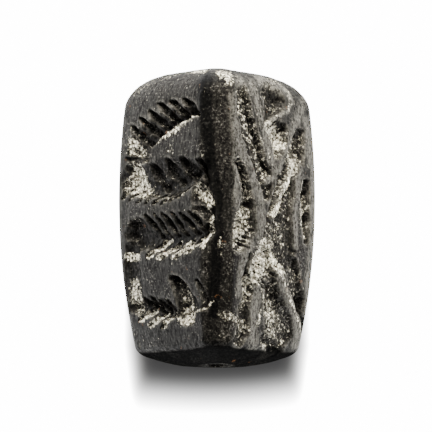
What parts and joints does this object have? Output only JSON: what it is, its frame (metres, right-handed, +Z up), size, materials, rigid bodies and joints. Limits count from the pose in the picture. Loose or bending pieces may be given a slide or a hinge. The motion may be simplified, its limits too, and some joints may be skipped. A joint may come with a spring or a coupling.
{
  "type": "stamp seal",
  "caption": "Three-sided black stone seal with domed ends, drilled along its length, its faces deeply carved, lying on one flat face.",
  "frame": {"origin": "middle of the bounding box at the base face's level, where the seal lies", "axes": "+Y along the cord hole from foot to head, +Z up through the narrow ridge, +X to the side of the crossing bars"},
  "size_m": [0.0198, 0.0298, 0.0156],
  "materials": {
    "seal": "worn, half polished black stone with pale deposits in the cuts"
  },
  "bodies": {
    "root": {"seal": "seal"}
  },
  "joints": []
}
